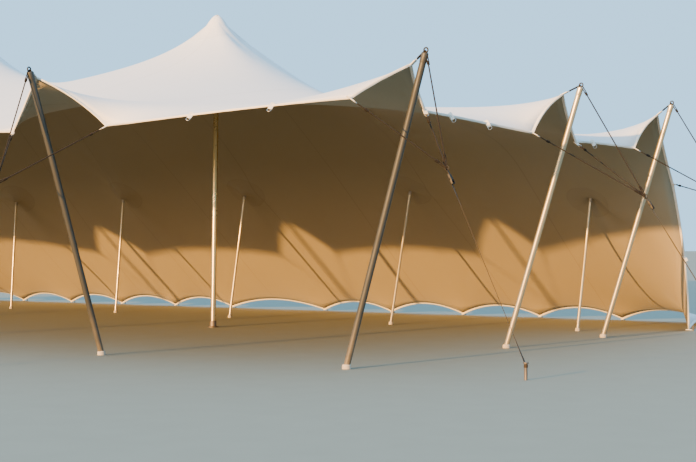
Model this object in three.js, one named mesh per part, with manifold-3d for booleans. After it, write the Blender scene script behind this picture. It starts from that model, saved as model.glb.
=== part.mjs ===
// A stretch tent: one tensioned cloth on two king poles, nine leaning edge poles and six low back poles.
// The front and the two ends are open, and the back of the cloth runs down to pegs in the ground.
// Millimetres, +Z up. X runs along the open front, Y towards the pegged back, and Z = 0 is the ground.
import * as THREE from 'three';
import { mergeVertices } from 'three/addons/utils/BufferGeometryUtils.js';
import Module from 'manifold-3d';

const wasm = await Module();
wasm.setup();

// Plan of the poles, with the feet of the corner poles on Y = 0
const CORNER_POLE_X = 7850;
const FRONT_POLE_X = [-3420, 1000, 4860];
const FRONT_POLE_Y = -90;
const END_POLE_Y = 3110;
const REAR_END_POLE = { x: 8010, y: 5350 };
const KING_X = 2700;
const KING_Y = 4350;
const BACK_POLE_X = [-7100, -4080, -1420, 1230, 4340, 7200];
const BACK_TOP_Y = 6800;
const BACK_CORNER = { x: 8000, y: 9300 };

// Heights of the poles and of the cloth over the ground
const HEAD_HEIGHT = 2830;
const KING_HEIGHT = { right: 4340, left: 4930 };
const BACK_POLE_HEIGHT = { inner: 1960, outer: 1800 };
const BACK_POLE_LEAN = [300, 125, 190, 380, 540, 430];
const KING_LEAN = { x: 50, y: 30 };
const GROUND_HEM_HEIGHT = 14;

// How each kind of edge pole leans and holds its ear of cloth. Points are [out, along, up] from the foot:
// out is away from the tent, along is anticlockwise round it seen from above. The ridge is how much harder
// the cloth is stretched straight in from the tip than elsewhere.
const FRONT_EAR = {
  lean: 980,
  tip: [900, 0, 2764],
  tabs: [[580, -680, 2280], [450, 500, 2290]],
  ring: [1400, 0, 1700],
  stakeOut: 2100,
  ridge: 2,
};
const CORNER_EAR = {
  lean: 840,
  tip: [700, 0, 2720],
  tabs: [[380, -500, 2390], [550, 470, 2350]],
  ring: [1050, 0, 1790],
  stakeOut: 1810,
  ridge: 10,
};
const END_EAR = {
  lean: 890,
  tip: [690, 0, 2750],
  tabs: [[560, -455, 2300], [580, 560, 2260]],
  ring: [1610, 0, 1630],
  stakeOut: 2570,
  ridge: 10,
};
const REAR_EAR = {
  lean: 880,
  tip: [710, 0, 2705],
  tabs: [[600, -450, 2270], [500, 1070, 1915]],
  ring: [1600, 0, 1650],
  stakeOut: 2550,
  ridge: 10,
};
const END_EDGE_GROUND = { x: 8400, y: 7250 };

// Hem between two fixed points: how far it bows in towards the roof and up, and more where it is wider
const HEM_BOW = { in: 170, up: 45 };
const HEM_BOW_TABS = 3;
const EAR_BOW = { in: 25, up: 40 };
const DROP_BOW = { in: -50, up: 0 };
const END_GROUND_BOW = { in: 0, up: 90 };
const BACK_HEM_BOW = { in: 60, up: 160 };

// Cloth: grid cells between two neighbouring tabs, thickness, and the round crown on each king pole
const CELLS = 2;
const RAISED_STATIONS = 12;
const FRONT_STRETCHES = [6, 1, 1, 4, 1, 1, 4, 1, 1, 3];
const END_STRETCHES = [1, 1, 3, 1, 1, 2, 1, 1, 2, 2];
const BACK_STRETCHES = [2, 2, 2, 2, 2, 3, 2, 2, 2, 2, 2];
const KING_STATION = { across: 16, deep: 8 };
const BACK_POLE_STATION = { across: [1, 5, 9.5, 13.5, 18, 22], deep: 12 };
const CLOTH_THICKNESS = 5;
const CROWN_RADIUS = 150;
const CROWN_DROP = 160;

// Where the cloth is stretched harder: round the king poles, between them, and in from each ear's tip
const KING_PULL = { radius: 2800, power: 0.45 };
const KING_LINE = { strength: 1.3, width: 800 };
const EAR_RIDGE = { width: 250, spread: 0.15, fade: 1500 };
const PLAN_ROUNDS = 300;
const HEIGHT_ROUNDS = 900;
const OVER_RELAX = 1.7;

// Edge webbing, its tabs and the ties to the pole heads
const WEBBING_WIDTH = 45;
const WEBBING_THICKNESS = 7;
const SEAM_GAP = 0.6;
const TAB_WIDTH = 40;
const TAB_LENGTH = 62;
const TAB_THICKNESS = 6;
const TAB_SEAM = 10;
const TIE_RADIUS = 7;
const PEG_RADIUS = 9;
const PEG_HEIGHT = 70;
const PEG_HEAD_RADIUS = 17;
const PEG_HEAD_HEIGHT = 12;
const PEG_SIDES = 8;
const CORNER_PEG_INSET = 60;

// Poles
const POLE_RADIUS = 30;
const NECK_RADIUS = 12;
const NECK_LENGTH = 82;
const HEAD_RADIUS = 32;
const COLLAR_RADIUS = 35;
const COLLAR_LENGTH = 60;
const FOOT_RADIUS = 42;
const FOOT_HEIGHT = 44;
const FOOT_LIP = 4;
const POLE_SIDES = 10;
const KING_RADIUS = 38;
const KING_SIDES = 16;
const KING_PLATE = { radius: 76, height: 12 };
const KING_SOCKET = { radius: 46, from: 18, to: 90 };
const KING_PAD_RADIUS = 70;
const KING_PAD_SLOPE = 1.65;
const KING_PAD_THICKNESS = 45;
const BACK_POLE_RADIUS = 20;
const BACK_POLE_SIDES = 8;
const BACK_FOOT_RADIUS = 32;
const BACK_TIP_HEIGHT = 75;
const SEAT_GAP = 0.4;

// Ropes, rings, ratchets, straps and stakes
const ROPE_RADIUS = 6;
const ROPE_SIDES = 6;
const RING_RADIUS = 34;
const RING_WIRE = 7;
const RING_FACES = { around: 8, wire: 4 };
const STRAP_WIDTH = 28;
const STRAP_THICKNESS = 5;
const RATCHET = { from: 52, length: 100, width: 48, height: 32 };
const STAKE_RADIUS = 14;
const STAKE_HEIGHT = 150;
const STAKE_HEAD_RADIUS = 24;
const STAKE_HEAD_HEIGHT = 14;
const STAKE_SIDES = 8;
const STRAP_SEAT = 2;

// Middle of the footprint in Y: the front stakes reach furthest forward, the back pegs furthest back
const FRONT_REACH = FRONT_POLE_Y - FRONT_EAR.stakeOut - STAKE_HEAD_RADIUS;
const BACK_REACH = BACK_CORNER.y + TAB_LENGTH + PEG_HEAD_RADIUS;
const MIDDLE_Y = (FRONT_REACH + BACK_REACH) / 2;

function finish(color, roughness, metalness) {
  return new THREE.MeshStandardMaterial({ color, roughness, metalness });
}

const FINISHES = {
  cloth: finish(0xe9e4da, 0.85, 0),
  webbing: finish(0xf0ece2, 0.8, 0),
  pole: finish(0xb9b2a4, 0.45, 0.7),
  rope: finish(0x4c463d, 0.9, 0),
  stake: finish(0x77736c, 0.5, 0.8),
  pad: finish(0x3b3833, 0.8, 0),
};

const vector = (x, y, z) => new THREE.Vector3(x, y, z);

// Joining and cutting closed solids
function solidOf(geometry) {
  const bare = geometry.index ? geometry.clone() : mergeVertices(geometry.clone());
  for (const name of Object.keys(bare.attributes)) {
    if (name !== 'position') bare.deleteAttribute(name);
  }
  const merged = mergeVertices(bare, 1e-3);
  return new wasm.Manifold(new wasm.Mesh({
    numProp: 3,
    vertProperties: new Float32Array(merged.attributes.position.array),
    triVerts: new Uint32Array(merged.index.array),
  }));
}

function geometryOf(solid) {
  const mesh = solid.getMesh();
  const geometry = new THREE.BufferGeometry();
  geometry.setAttribute('position', new THREE.BufferAttribute(new Float32Array(mesh.vertProperties), 3));
  geometry.setIndex(new THREE.BufferAttribute(new Uint32Array(mesh.triVerts), 1));
  return geometry;
}

function joined(geometries) {
  return geometryOf(geometries.map(solidOf).reduce((whole, piece) => whole.add(piece)));
}

function cut(geometry, tool) {
  return geometryOf(solidOf(geometry).subtract(solidOf(tool)));
}

// A turned piece whose axis starts at one point and runs towards another
function turned(profile, sides, from, towards) {
  const outline = profile.map(([radius, height]) => new THREE.Vector2(radius, height));
  const geometry = new THREE.LatheGeometry(outline, sides);
  const direction = towards.clone().sub(from).normalize();
  geometry.applyQuaternion(new THREE.Quaternion().setFromUnitVectors(vector(0, 1, 0), direction));
  geometry.translate(from.x, from.y, from.z);
  return geometry;
}

function rod(from, to, radius, sides) {
  const length = from.distanceTo(to);
  return turned([[0, 0], [radius, 0], [radius, length], [0, length]], sides, from, to);
}

// A flat bar from one point to another, its wide side level
function bar(from, to, width, thickness) {
  const direction = to.clone().sub(from);
  const geometry = new THREE.BoxGeometry(direction.length(), width, thickness);
  const forward = direction.normalize();
  const side = vector(0, 0, 1).cross(forward);
  if (side.length() < 1e-6) side.set(0, 1, 0);
  side.normalize();
  const up = forward.clone().cross(side);
  const turn = new THREE.Matrix4().makeBasis(forward, side, up);
  turn.setPosition(from.clone().add(to).multiplyScalar(0.5));
  geometry.applyMatrix4(turn);
  return geometry;
}

function towards(from, to, distance) {
  return from.clone().add(to.clone().sub(from).setLength(distance));
}

// The nine ears: each is an edge pole, the cloth it pulls out, its ropes and its stake
function ear(name, x, y, angle, shape, flip = 1) {
  const place = (out, along, up) => vector(out, along * flip, up);
  const toTent = new THREE.Matrix4().makeRotationZ(angle);
  toTent.setPosition(x, y, 0);
  const local = {
    head: place(shape.lean, 0, HEAD_HEIGHT),
    tip: place(...shape.tip),
    tabs: shape.tabs.map((tab) => place(...tab)),
    ring: place(...shape.ring),
    stake: vector(shape.stakeOut, 0, 0),
  };
  return {
    name,
    x,
    y,
    angle,
    toTent,
    local,
    ridge: shape.ridge,
    inward: vector(-Math.cos(angle), -Math.sin(angle), 0),
    head: local.head.clone().applyMatrix4(toTent),
    tip: local.tip.clone().applyMatrix4(toTent),
    tabs: local.tabs.map((tab) => tab.clone().applyMatrix4(toTent)),
    ring: local.ring.clone().applyMatrix4(toTent),
  };
}

const FRONTWARD = -Math.PI / 2;
const frontEars = FRONT_POLE_X.map((x, index) => {
  return ear(`front_${index + 1}`, x, FRONT_POLE_Y, FRONTWARD, FRONT_EAR, Math.sign(x));
});
const rightEars = [
  ear('right_corner', CORNER_POLE_X, 0, 0, CORNER_EAR),
  ear('right_middle', CORNER_POLE_X, END_POLE_Y, 0, END_EAR),
  ear('right_rear', REAR_END_POLE.x, REAR_END_POLE.y, 0, REAR_EAR),
];
const leftEars = [
  ear('left_corner', -CORNER_POLE_X, 0, Math.PI, CORNER_EAR, -1),
  ear('left_middle', -CORNER_POLE_X, END_POLE_Y, Math.PI, END_EAR, -1),
  ear('left_rear', -REAR_END_POLE.x, REAR_END_POLE.y, Math.PI, REAR_EAR, -1),
];
const ears = [...frontEars, ...rightEars, ...leftEars];

// The four sides of the cloth as rows of points, from left to right and from front to back
function hem(fixed, stretches, inward, bowOf) {
  const points = [fixed[0].clone()];
  stretches.forEach((tabs, index) => {
    const steps = tabs * CELLS;
    const bow = bowOf(index, tabs);
    for (let step = 1; step <= steps; step++) {
      const t = step / steps;
      const arc = 4 * t * (1 - t);
      const point = fixed[index].clone().lerp(fixed[index + 1], t);
      point.addScaledVector(inward, bow.in * arc);
      point.z += bow.up * arc;
      points.push(point);
    }
  });
  return points;
}

function raisedBow(tabs) {
  if (tabs === 1) return EAR_BOW;
  const share = Math.max(1, tabs / HEM_BOW_TABS);
  return { in: HEM_BOW.in * share, up: HEM_BOW.up * share };
}

const byX = (a, b) => a.x - b.x;
const byY = (a, b) => a.y - b.y;
const earPoints = (one, order) => {
  const [first, second] = [...one.tabs].sort(order);
  return [first, one.tip, second];
};

function endHem(ears, side) {
  const fixed = ears.flatMap((one) => earPoints(one, byY));
  fixed.push(vector(side * END_EDGE_GROUND.x, END_EDGE_GROUND.y, GROUND_HEM_HEIGHT));
  fixed.push(vector(side * BACK_CORNER.x, BACK_CORNER.y, GROUND_HEM_HEIGHT));
  return hem(fixed, END_STRETCHES, vector(-side, 0, 0), (index, tabs) => {
    if (index === END_STRETCHES.length - 1) return END_GROUND_BOW;
    if (index === END_STRETCHES.length - 2) return DROP_BOW;
    return raisedBow(tabs);
  });
}

function frontHem() {
  const corners = [earPoints(leftEars[0], byY)[0], earPoints(rightEars[0], byY)[0]];
  const fixed = [corners[0], ...frontEars.flatMap((one) => earPoints(one, byX)), corners[1]];
  return hem(fixed, FRONT_STRETCHES, vector(0, 1, 0), (index, tabs) => raisedBow(tabs));
}

function backHem() {
  const stations = BACK_STRETCHES.reduce((sum, tabs) => sum + tabs, 0);
  const fixed = [vector(-BACK_CORNER.x, BACK_CORNER.y, GROUND_HEM_HEIGHT)];
  let station = 0;
  for (const tabs of BACK_STRETCHES) {
    station += tabs;
    const x = BACK_CORNER.x * ((2 * station) / stations - 1);
    fixed.push(vector(x, BACK_CORNER.y, GROUND_HEM_HEIGHT));
  }
  return hem(fixed, BACK_STRETCHES, vector(0, -1, 0), () => BACK_HEM_BOW);
}

// The cloth is a grid of points that settle between the hems and the pole tops
const hems = { front: frontHem(), right: endHem(rightEars, 1), back: backHem(), left: endHem(leftEars, -1) };
const COLUMNS = hems.front.length - 1;
const ROWS = hems.right.length - 1;
const at = (i, j) => j * (COLUMNS + 1) + i;
const NEIGHBOURS = [[1, 0], [-1, 0], [0, 1], [0, -1]];

function coons(i, j) {
  const u = i / COLUMNS;
  const v = j / ROWS;
  const point = vector(0, 0, 0);
  point.addScaledVector(hems.front[i], 1 - v);
  point.addScaledVector(hems.back[i], v);
  point.addScaledVector(hems.left[j], 1 - u);
  point.addScaledVector(hems.right[j], u);
  point.addScaledVector(hems.front[0], -(1 - u) * (1 - v));
  point.addScaledVector(hems.front[COLUMNS], -u * (1 - v));
  point.addScaledVector(hems.back[0], -(1 - u) * v);
  point.addScaledVector(hems.back[COLUMNS], -u * v);
  return point;
}

const kings = [
  { name: 'left', x: -KING_X, height: KING_HEIGHT.left },
  { name: 'right', x: KING_X, height: KING_HEIGHT.right },
];
const backPoles = BACK_POLE_X.map((x, index) => {
  const outer = index === 0 || index === BACK_POLE_X.length - 1;
  return {
    name: `back_pole_${index + 1}`,
    x,
    station: BACK_POLE_STATION.across[index],
    height: outer ? BACK_POLE_HEIGHT.outer : BACK_POLE_HEIGHT.inner,
    lean: BACK_POLE_LEAN[index],
  };
});

// Every free point moves to where its four neighbours pull it, round after round
function settle(points, axis, held, strengthOf, rounds) {
  const free = [];
  for (let j = 1; j < ROWS; j++) {
    for (let i = 1; i < COLUMNS; i++) {
      if (held.has(at(i, j))) continue;
      const links = NEIGHBOURS.map(([di, dj]) => {
        return { to: at(i + di, j + dj), strength: strengthOf(i, j, di, dj) };
      });
      const total = links.reduce((sum, link) => sum + link.strength, 0);
      free.push({ here: at(i, j), links, total });
    }
  }
  for (let round = 0; round < rounds; round++) {
    for (const { here, links, total } of free) {
      let pull = 0;
      for (const link of links) pull += link.strength * points[link.to][axis];
      points[here][axis] += OVER_RELAX * (pull / total - points[here][axis]);
    }
  }
}

// How hard the cloth is stretched along a short way between two points
function stretchOf(from, to) {
  const middle = from.clone().add(to).multiplyScalar(0.5).setZ(0);
  const way = to.clone().sub(from).setZ(0).normalize();
  const near = Math.min(...kings.map((king) => Math.hypot(middle.x - king.x, middle.y - KING_Y)));
  let strength = Math.max(1, (KING_PULL.radius / Math.max(near, CROWN_RADIUS)) ** KING_PULL.power);

  const beyond = Math.max(Math.abs(middle.x) - KING_X, 0);
  const offLine = Math.hypot(beyond, middle.y - KING_Y) / KING_LINE.width;
  strength += KING_LINE.strength * Math.exp(-(offLine ** 2)) * way.x ** 2;

  for (const one of ears) {
    const fromTip = middle.clone().sub(one.tip).setZ(0);
    const depth = Math.max(fromTip.dot(one.inward), 0);
    const across = Math.abs(fromTip.x * one.inward.y - fromTip.y * one.inward.x);
    const width = EAR_RIDGE.width + EAR_RIDGE.spread * depth;
    const share = Math.exp(-((across / width) ** 2) - depth / EAR_RIDGE.fade);
    strength += one.ridge * share * way.dot(one.inward) ** 2;
  }
  return strength;
}

function clothGrid() {
  const points = [];
  for (let j = 0; j <= ROWS; j++) {
    for (let i = 0; i <= COLUMNS; i++) points.push(coons(i, j));
  }
  const held = new Set();
  for (const king of kings) {
    const i = king.x > 0 ? KING_STATION.across * CELLS : COLUMNS - KING_STATION.across * CELLS;
    const j = KING_STATION.deep * CELLS;
    for (const di of [-1, 0, 1]) {
      for (const dj of [-1, 0, 1]) {
        const reach = di || dj ? CROWN_RADIUS / Math.hypot(di, dj) : 0;
        const drop = di || dj ? CROWN_DROP : 0;
        points[at(i + di, j + dj)].set(king.x + di * reach, KING_Y + dj * reach, king.height - drop);
        held.add(at(i + di, j + dj));
      }
    }
  }
  for (const pole of backPoles) {
    const here = at(pole.station * CELLS, BACK_POLE_STATION.deep * CELLS);
    points[here].set(pole.x, BACK_TOP_Y, pole.height);
    held.add(here);
  }
  const even = () => 1;
  settle(points, 'x', held, even, PLAN_ROUNDS);
  settle(points, 'y', held, even, PLAN_ROUNDS);

  const plan = (n, m) => Math.hypot(points[n].x - points[m].x, points[n].y - points[m].y);
  const stretched = (i, j, di, dj) => {
    const here = at(i, j);
    const next = at(i + di, j + dj);
    const across = plan(at(i + dj, j + di), at(i - dj, j - di));
    return (stretchOf(points[here], points[next]) * across) / plan(here, next);
  };
  settle(points, 'z', held, stretched, HEIGHT_ROUNDS);
  return points;
}

const cloth = clothGrid();

// Points one webbing width in from the hem, where the webbing is sewn to the cloth
function inset(i, j, distance) {
  const point = cloth[at(i, j)].clone();
  const start = point.clone();
  const step = (di, dj) => point.add(cloth[at(i + di, j + dj)].clone().sub(start).setLength(distance));
  if (i === 0) step(1, 0);
  if (i === COLUMNS) step(-1, 0);
  if (j === 0) step(0, 1);
  if (j === ROWS) step(0, -1);
  return point;
}

function canopyGeometry() {
  const positions = [];
  for (const lift of [-CLOTH_THICKNESS / 2, CLOTH_THICKNESS / 2]) {
    for (let j = 0; j <= ROWS; j++) {
      for (let i = 0; i <= COLUMNS; i++) {
        const point = inset(i, j, WEBBING_WIDTH + SEAM_GAP);
        positions.push(point.x, point.y, point.z + lift);
      }
    }
  }
  const top = (COLUMNS + 1) * (ROWS + 1);
  const faces = [];
  const quad = (a, b, c, d) => faces.push(a, b, c, a, c, d);
  for (let j = 0; j < ROWS; j++) {
    for (let i = 0; i < COLUMNS; i++) {
      const corners = [at(i, j), at(i + 1, j), at(i + 1, j + 1), at(i, j + 1)];
      const turnedDiagonal = (i < COLUMNS / 2) !== (j < ROWS / 2);
      const [a, b, c, d] = turnedDiagonal ? [...corners.slice(1), corners[0]] : corners;
      quad(a + top, b + top, c + top, d + top);
      quad(a, d, c, b);
    }
  }
  const rim = [];
  for (let i = 0; i < COLUMNS; i++) rim.push(at(i, 0));
  for (let j = 0; j < ROWS; j++) rim.push(at(COLUMNS, j));
  for (let i = COLUMNS; i > 0; i--) rim.push(at(i, ROWS));
  for (let j = ROWS; j > 0; j--) rim.push(at(0, j));
  rim.forEach((here, index) => {
    const next = rim[(index + 1) % rim.length];
    quad(here, next, next + top, here + top);
  });
  const geometry = new THREE.BufferGeometry();
  geometry.setAttribute('position', new THREE.Float32BufferAttribute(positions, 3));
  geometry.setIndex(faces);
  return geometry;
}

// A strip of webbing along one side, square in section, with its outer edge on the hem
function webbingStrip(places) {
  const positions = [];
  places.forEach(([i, j], index) => {
    const inner = inset(i, j, WEBBING_WIDTH);
    const outer = cloth[at(i, j)].clone();
    if (index === 0 || index === places.length - 1) {
      const [ni, nj] = places[index === 0 ? 1 : index - 1];
      const along = cloth[at(ni, nj)].clone().sub(outer).setLength(SEAM_GAP);
      inner.add(along);
      outer.add(along);
    }
    for (const lift of [-WEBBING_THICKNESS / 2, WEBBING_THICKNESS / 2]) {
      positions.push(inner.x, inner.y, inner.z + lift, outer.x, outer.y, outer.z + lift);
    }
  });
  const faces = [];
  const quad = (a, b, c, d) => faces.push(a, b, c, a, c, d);
  const last = (places.length - 1) * 4;
  for (let n = 0; n < last; n += 4) {
    quad(n + 5, n + 1, n, n + 4);
    quad(n + 7, n + 6, n + 2, n + 3);
    quad(n + 5, n + 7, n + 3, n + 1);
    quad(n + 6, n + 4, n, n + 2);
  }
  quad(0, 1, 3, 2);
  quad(last + 2, last + 3, last + 1, last);
  const geometry = new THREE.BufferGeometry();
  geometry.setAttribute('position', new THREE.Float32BufferAttribute(positions, 3));
  geometry.setIndex(faces);
  return geometry;
}

// A tab sewn to the hem, pulled towards a point
function tab(from, goal) {
  return bar(towards(from, goal, -TAB_SEAM), towards(from, goal, TAB_LENGTH), TAB_WIDTH, TAB_THICKNESS);
}

// The tube of an edge pole with its collar, neck and ball head. A grown one leaves room for the pole.
function poleTube(head, grow = 0) {
  const foot = vector(0, 0, FOOT_HEIGHT / 2);
  const length = foot.distanceTo(head);
  const profile = [
    [0, 0],
    [POLE_RADIUS + grow, 0],
    [POLE_RADIUS + grow, length - NECK_LENGTH - COLLAR_LENGTH - grow],
    [COLLAR_RADIUS + grow, length - NECK_LENGTH - COLLAR_LENGTH - grow],
    [COLLAR_RADIUS + grow, length - NECK_LENGTH + grow],
    [NECK_RADIUS + grow, length - NECK_LENGTH + grow],
    [NECK_RADIUS + grow, length - HEAD_RADIUS * 0.8 - grow],
    [HEAD_RADIUS * 0.95 + grow, length - HEAD_RADIUS * 0.3],
    [HEAD_RADIUS * 0.8 + grow, length + HEAD_RADIUS * 0.6 + grow],
    [0, length + HEAD_RADIUS + grow],
  ];
  return turned(profile, POLE_SIDES, foot, head);
}

// The tie from the tip of an ear to the ball of its pole
function tie(one) {
  const rope = rod(towards(one.tip, one.head, -TAB_SEAM), one.head, TIE_RADIUS, ROPE_SIDES);
  return cut(rope, poleTube(one.local.head, SEAT_GAP).applyMatrix4(one.toTent));
}

// The ties and pulled tabs along a stretch of raised hem
function fittings(places) {
  return places.flatMap(([i, j]) => {
    const point = cloth[at(i, j)];
    const tipped = ears.find((one) => one.tip.distanceTo(point) < 1);
    const pulled = ears.find((one) => one.tabs.some((spot) => spot.distanceTo(point) < 1));
    if (tipped) return [tie(tipped)];
    return pulled ? [tab(point, pulled.ring)] : [];
  });
}

const range = (count) => Array.from({ length: count }, (_, n) => n);
const sides = {
  front: range(COLUMNS + 1).map((i) => [i, 0]),
  right: range(ROWS + 1).map((j) => [COLUMNS, j]),
  back: range(COLUMNS + 1).map((i) => [COLUMNS - i, ROWS]),
  left: range(ROWS + 1).map((j) => [0, ROWS - j]),
};

function peg(point, outward) {
  const centre = point.clone().addScaledVector(outward, TAB_LENGTH);
  centre.z = 0;
  const profile = [
    [0, 0],
    [PEG_RADIUS, 0],
    [PEG_RADIUS, PEG_HEIGHT - PEG_HEAD_HEIGHT],
    [PEG_HEAD_RADIUS, PEG_HEIGHT - PEG_HEAD_HEIGHT],
    [PEG_HEAD_RADIUS, PEG_HEIGHT],
    [0, PEG_HEIGHT],
  ];
  const start = point.clone().addScaledVector(outward, -TAB_SEAM);
  const strap = bar(start, centre.clone().setZ(point.z), TAB_WIDTH, TAB_THICKNESS);
  return [turned(profile, PEG_SIDES, centre, vector(centre.x, centre.y, 1)), strap];
}

function groundFittings(places, outward) {
  const onGround = (point) => point.z < GROUND_HEM_HEIGHT + 1;
  return places.flatMap(([i, j], index) => {
    const point = cloth[at(i, j)].clone();
    if (i % CELLS || j % CELLS || !onGround(point)) return [];
    const next = places[index + 1] ?? places[index - 1];
    const atCorner = (i === 0 || i === COLUMNS) && j === ROWS;
    return peg(atCorner ? towards(point, cloth[at(...next)], CORNER_PEG_INSET) : point, outward);
  });
}

function edgeWebbing(side) {
  const places = sides[side];
  const strip = webbingStrip(places);
  if (side === 'back') return joined([strip, ...groundFittings(places, vector(0, 1, 0))]);
  if (side === 'front') return joined([strip, ...fittings(places.slice(1, -1))]);
  const out = side === 'right' ? 1 : -1;
  const raised = places.filter(([i, j]) => j > 0 && j <= RAISED_STATIONS * CELLS);
  const pegged = places.filter(([i, j]) => j > RAISED_STATIONS * CELLS && j < ROWS);
  return joined([strip, ...fittings(raised), ...groundFittings(pegged, vector(out, 0, 0))]);
}

// An edge pole: rubber foot, tube and a ball head on a neck, built at its foot and leaning along +X
function edgePoleGeometry(head) {
  const rubber = [
    [0, 0],
    [FOOT_RADIUS, 0],
    [FOOT_RADIUS, FOOT_HEIGHT * 0.7],
    [POLE_RADIUS + FOOT_LIP, FOOT_HEIGHT],
    [0, FOOT_HEIGHT],
  ];
  return joined([poleTube(head), turned(rubber, POLE_SIDES, vector(0, 0, 0), vector(0, 0, 1))]);
}

// Three ropes from the head and the two tabs meet at a ring, and a ratchet strap runs on to the stake
function guyGeometry(one) {
  const { head, ring, stake } = one.local;
  const ends = [head, ...one.local.tabs.map((spot) => towards(spot, ring, TAB_LENGTH + SEAT_GAP))];
  const onRing = (end) => towards(ring, end.clone().setY(ring.y), RING_RADIUS);
  const ropes = ends.map((end) => rod(end, onRing(end), ROPE_RADIUS, ROPE_SIDES));
  const hook = stake.clone().setZ(STAKE_HEIGHT);
  const strapEnd = towards(hook, ring, STRAP_SEAT);
  const strapStart = towards(ring, hook, RING_RADIUS - 2);
  const ringTurn = new THREE.TorusGeometry(RING_RADIUS, RING_WIRE, RING_FACES.wire, RING_FACES.around);
  ringTurn.rotateX(Math.PI / 2);
  ringTurn.translate(ring.x, ring.y, ring.z);
  const ratchet = bar(
    towards(ring, hook, RATCHET.from),
    towards(ring, hook, RATCHET.from + RATCHET.length),
    RATCHET.width,
    RATCHET.height,
  );
  const strap = bar(strapStart, strapEnd, STRAP_WIDTH, STRAP_THICKNESS);
  return cut(joined([ringTurn, ...ropes, strap, ratchet]), poleTube(head, SEAT_GAP));
}

function stakeGeometry() {
  const profile = [
    [0, 0],
    [STAKE_RADIUS, 0],
    [STAKE_RADIUS, STAKE_HEIGHT - STAKE_HEAD_HEIGHT],
    [STAKE_HEAD_RADIUS, STAKE_HEIGHT - STAKE_HEAD_HEIGHT],
    [STAKE_HEAD_RADIUS, STAKE_HEIGHT],
    [0, STAKE_HEIGHT],
  ];
  return turned(profile, STAKE_SIDES, vector(0, 0, 0), vector(0, 0, 1));
}

// A padded cap on each king pole spreads the cloth
function kingPad(king) {
  const top = king.height - CLOTH_THICKNESS / 2 - SEAT_GAP;
  const rim = top - KING_PAD_RADIUS * KING_PAD_SLOPE;
  const profile = [
    [0, rim - KING_PAD_THICKNESS],
    [KING_PAD_RADIUS * 0.6, rim - KING_PAD_THICKNESS],
    [KING_PAD_RADIUS, rim - KING_PAD_THICKNESS * 0.4],
    [KING_PAD_RADIUS, rim],
    [0, top],
  ];
  const geometry = turned(profile, KING_SIDES, vector(0, 0, 0), vector(0, 0, 1));
  return { geometry, seat: rim - KING_PAD_THICKNESS };
}

// A king pole leans out a little from its base plate, and the high side of its top meets the pad
function kingPoleGeometry(king, seat) {
  const lean = vector(Math.sign(king.x) * KING_LEAN.x, KING_LEAN.y, 0);
  const tilt = (KING_RADIUS * lean.length()) / seat;
  const profile = [
    [0, 0],
    [KING_PLATE.radius, 0],
    [KING_PLATE.radius, KING_PLATE.height],
    [KING_SOCKET.radius, KING_SOCKET.from],
    [KING_SOCKET.radius, KING_SOCKET.to],
    [0, KING_SOCKET.to],
  ];
  const plate = turned(profile, KING_SIDES, vector(0, 0, 0), vector(0, 0, 1));
  plate.translate(-lean.x, -lean.y, 0);
  const foot = lean.clone().negate().setZ(KING_PLATE.height);
  const head = vector(0, 0, seat - SEAT_GAP - tilt);
  return joined([plate, rod(foot, head, KING_RADIUS, KING_SIDES)]);
}

// A back pole leans back from a rubber foot, and its pointed cap pushes the cloth up
function backPoleGeometry({ height, lean }) {
  const foot = vector(0, 0, FOOT_HEIGHT / 2);
  const top = vector(0, lean, height - CLOTH_THICKNESS / 2 - SEAT_GAP);
  const length = foot.distanceTo(top);
  const tube = [
    [0, 0],
    [BACK_POLE_RADIUS, 0],
    [BACK_POLE_RADIUS, length - BACK_TIP_HEIGHT],
    [0, length],
  ];
  const rubber = [
    [0, 0],
    [BACK_FOOT_RADIUS, 0],
    [BACK_FOOT_RADIUS, FOOT_HEIGHT * 0.7],
    [BACK_POLE_RADIUS + FOOT_LIP, FOOT_HEIGHT],
    [0, FOOT_HEIGHT],
  ];
  return joined([
    turned(tube, BACK_POLE_SIDES, foot, top),
    turned(rubber, POLE_SIDES, vector(0, 0, 0), vector(0, 0, 1)),
  ]);
}

const tent = new THREE.Group();
tent.position.y = -MIDDLE_Y;

function add(name, geometry, material, x = 0, y = 0, angle = 0) {
  const mesh = new THREE.Mesh(geometry, material);
  mesh.name = name;
  mesh.position.set(x, y, 0);
  mesh.rotation.z = angle;
  tent.add(mesh);
}

add('canopy', canopyGeometry(), FINISHES.cloth);
for (const side of Object.keys(sides)) add(`${side}_edge_webbing`, edgeWebbing(side), FINISHES.webbing);
for (const one of ears) {
  add(`${one.name}_pole`, edgePoleGeometry(one.local.head), FINISHES.pole, one.x, one.y, one.angle);
  add(`${one.name}_guy`, guyGeometry(one), FINISHES.rope, one.x, one.y, one.angle);
  const stakeAt = one.local.stake.clone().applyAxisAngle(vector(0, 0, 1), one.angle);
  add(`${one.name}_stake`, stakeGeometry(), FINISHES.stake, one.x + stakeAt.x, one.y + stakeAt.y);
}
for (const king of kings) {
  const pad = kingPad(king);
  add(`${king.name}_king_pad`, pad.geometry, FINISHES.pad, king.x, KING_Y);
  add(`${king.name}_king_pole`, kingPoleGeometry(king, pad.seat), FINISHES.pole, king.x, KING_Y);
}
for (const pole of backPoles) {
  add(pole.name, backPoleGeometry(pole), FINISHES.pole, pole.x, BACK_TOP_Y - pole.lean);
}

export default tent;
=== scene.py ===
import math

import bmesh
import bpy
import numpy as np
from mathutils import Matrix, Vector


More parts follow.
